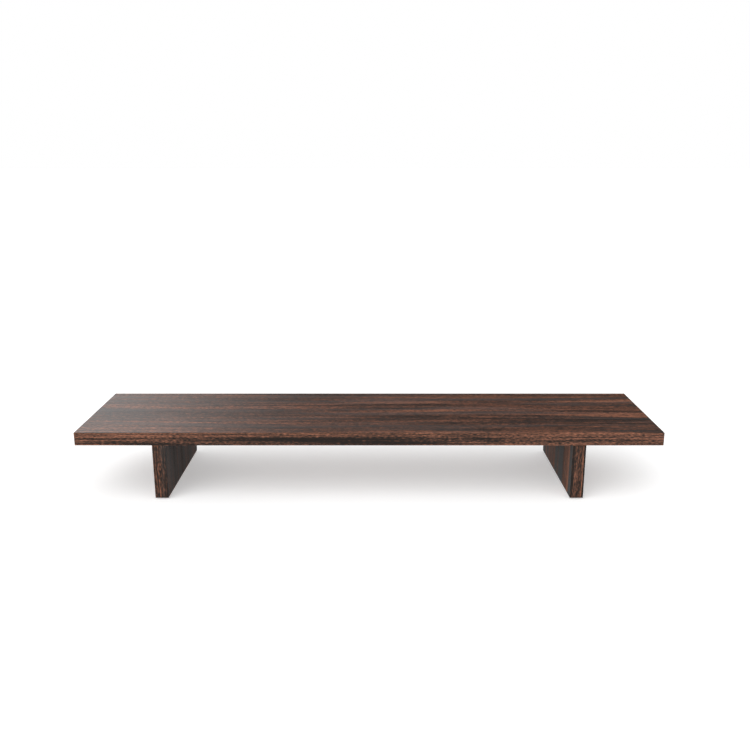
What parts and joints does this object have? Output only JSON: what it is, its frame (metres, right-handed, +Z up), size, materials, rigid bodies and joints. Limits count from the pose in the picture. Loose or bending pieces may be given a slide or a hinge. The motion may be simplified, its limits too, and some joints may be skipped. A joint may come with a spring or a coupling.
{
  "type": "monitor riser stand",
  "caption": "Long flat board shelf on board legs set in from its ends, raising monitors above a desk, with turning cam locks joining the legs to the shelf.",
  "frame": {"origin": "on the desk, below the middle of the shelf", "axes": "+X along the shelf to the right, +Y from the front to the back, +Z up"},
  "size_m": [1.1, 0.262, 0.1326],
  "materials": {
    "walnut_sheet": "satin dark walnut with straight streaked grain",
    "walnut_band": "satin dark walnut edge band",
    "particleboard": "raw pressed chips",
    "beech": "raw beech",
    "zinc": "die-cast zinc",
    "steel": "zinc-plated steel",
    "nylon": "natural nylon",
    "rubber": "matt black"
  },
  "bodies": {
    "stand": {"shelf_core": "particleboard", "shelf_top_sheet": "walnut_sheet", "shelf_bottom_sheet": "walnut_sheet", "shelf_front_edge_band": "walnut_band", "shelf_rear_edge_band": "walnut_band", "shelf_left_edge_band": "walnut_band", "shelf_right_edge_band": "walnut_band", "left_leg_core": "particleboard", "left_leg_outer_sheet": "walnut_sheet", "left_leg_inner_sheet": "walnut_sheet", "left_leg_front_edge_band": "walnut_band", "left_leg_rear_edge_band": "walnut_band", "left_leg_bottom_edge_band": "walnut_band", "left_front_connecting_bolt": "steel", "left_front_insert_nut": "nylon", "left_front_dowel": "beech", "left_front_foot_pad": "rubber", "left_rear_connecting_bolt": "steel", "left_rear_insert_nut": "nylon", "left_rear_dowel": "beech", "left_rear_foot_pad": "rubber", "right_leg_core": "particleboard", "right_leg_outer_sheet": "walnut_sheet", "right_leg_inner_sheet": "walnut_sheet", "right_leg_front_edge_band": "walnut_band", "right_leg_rear_edge_band": "walnut_band", "right_leg_bottom_edge_band": "walnut_band", "right_front_connecting_bolt": "steel", "right_front_insert_nut": "nylon", "right_front_dowel": "beech", "right_front_foot_pad": "rubber", "right_rear_connecting_bolt": "steel", "right_rear_insert_nut": "nylon", "right_rear_dowel": "beech", "right_rear_foot_pad": "rubber"},
    "left_front_cam": {"left_front_cam_lock": "zinc"},
    "left_rear_cam": {"left_rear_cam_lock": "zinc"},
    "right_front_cam": {"right_front_cam_lock": "zinc"},
    "right_rear_cam": {"right_rear_cam_lock": "zinc"}
  },
  "joints": [
    {"name": "left_front_cam_turn", "type": "hinge", "parent": "stand", "child": "left_front_cam", "pos_m": [-0.406, -0.086, 0.0733], "axis": [-1, 0, 0], "range_deg": [0, 190]},
    {"name": "left_rear_cam_turn", "type": "hinge", "parent": "stand", "child": "left_rear_cam", "pos_m": [-0.406, 0.086, 0.0733], "axis": [-1, 0, 0], "range_deg": [0, 190]},
    {"name": "right_front_cam_turn", "type": "hinge", "parent": "stand", "child": "right_front_cam", "pos_m": [0.406, -0.086, 0.0733], "axis": [1, 0, 0], "range_deg": [0, 190]},
    {"name": "right_rear_cam_turn", "type": "hinge", "parent": "stand", "child": "right_rear_cam", "pos_m": [0.406, 0.086, 0.0733], "axis": [1, 0, 0], "range_deg": [0, 190]}
  ]
}
